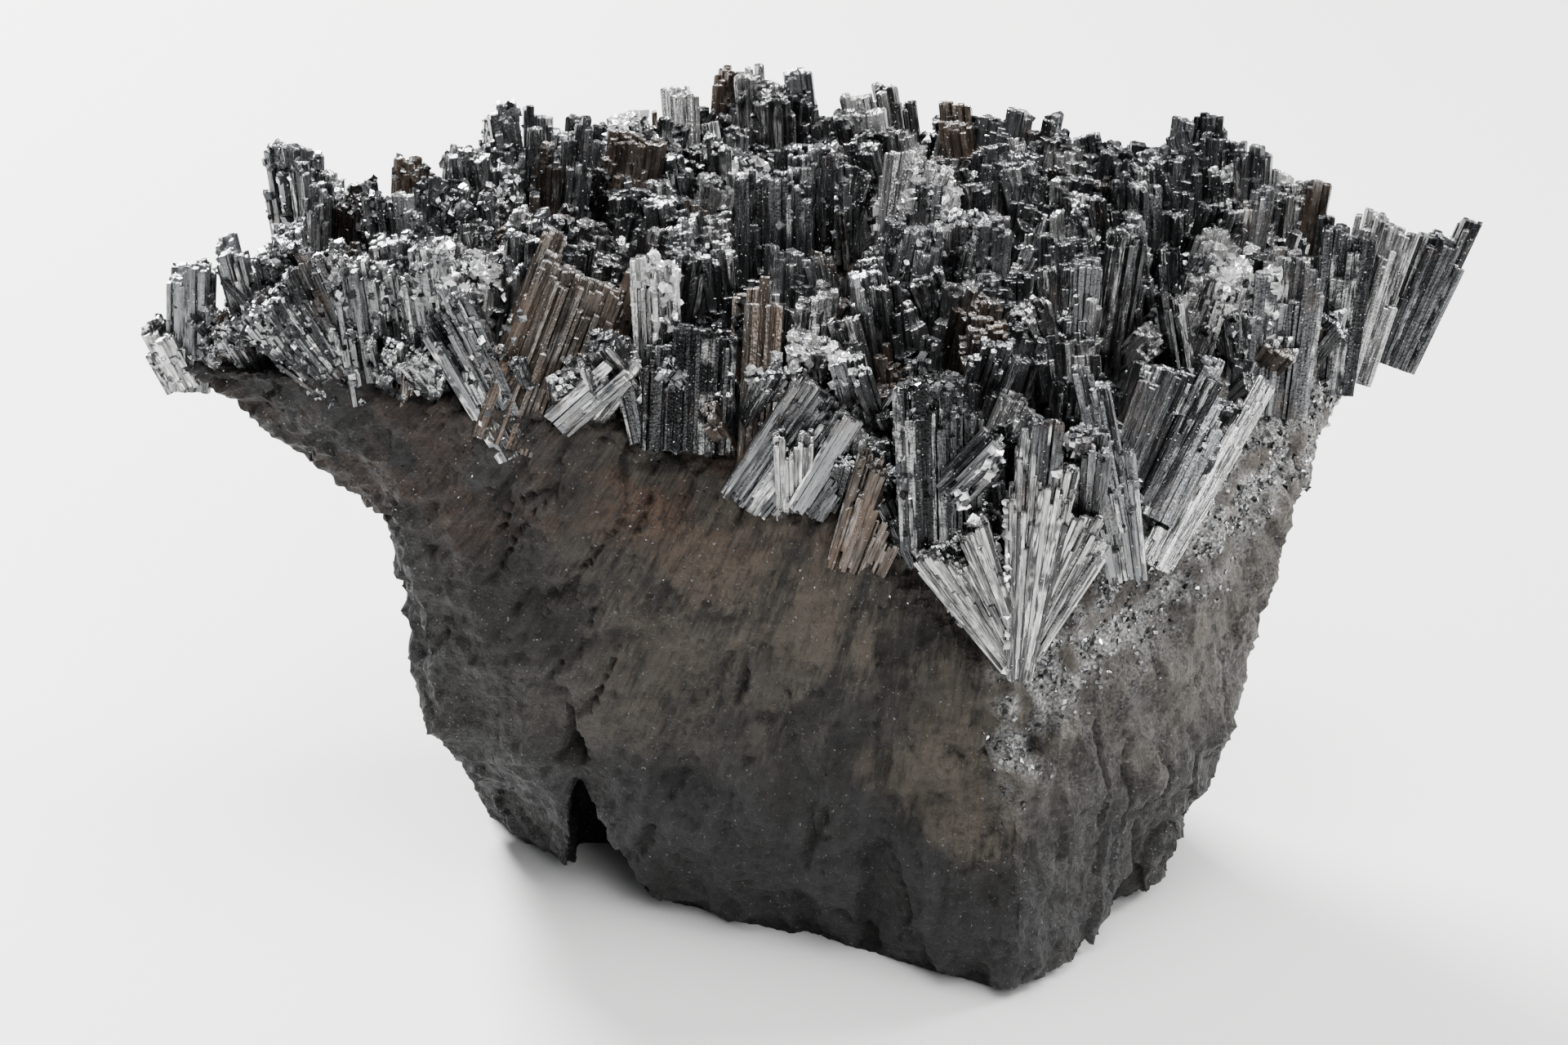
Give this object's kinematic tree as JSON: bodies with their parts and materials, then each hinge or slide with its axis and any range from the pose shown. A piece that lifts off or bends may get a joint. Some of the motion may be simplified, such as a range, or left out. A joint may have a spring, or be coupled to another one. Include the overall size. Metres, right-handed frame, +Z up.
{
  "type": "pyrolusite mineral specimen",
  "caption": "Free-standing pyrolusite specimen: a flaring block of fibrous brown-grey ore under a crust of steel-black prismatic crystal sheaves.",
  "frame": {"origin": "middle of the bounding box in plan, on the resting face", "axes": "+Z up from the resting face; -Y towards the front ridge; +X towards the right wing, along the longest extent"},
  "size_m": [0.0692, 0.0338, 0.0412],
  "materials": {
    "ore": "dull to sub-metallic fibrous ore, brown-grey, darker at the foot",
    "crystal": "metallic steel-black, finely striated along each prism, bright flat ends",
    "pale_crystal": "metallic pale steel-grey, finely striated",
    "brown_crystal": "metallic grey with a brown tarnish, finely striated",
    "granular_crystal": "metallic, silvery and granular"
  },
  "bodies": {
    "root": {"ore_block": "ore", "front_spray": "pale_crystal", "dark_front_sheaf": "crystal", "brown_slab": "brown_crystal", "grey_slab": "crystal", "granular_knob": "granular_crystal", "plate_sheaf": "crystal", "right_sheaf": "crystal", "rim_blade": "pale_crystal", "stepped_block": "crystal", "brown_columns": "brown_crystal", "striated_sheaf": "brown_crystal", "left_sheaf": "crystal", "left_fan": "crystal", "left_crust": "granular_crystal", "left_tip_sheaf": "crystal", "tall_block": "crystal", "bright_fan": "pale_crystal", "right_columns": "crystal", "wing_sheaf": "crystal", "druse_crust": "crystal"}
  },
  "joints": []
}
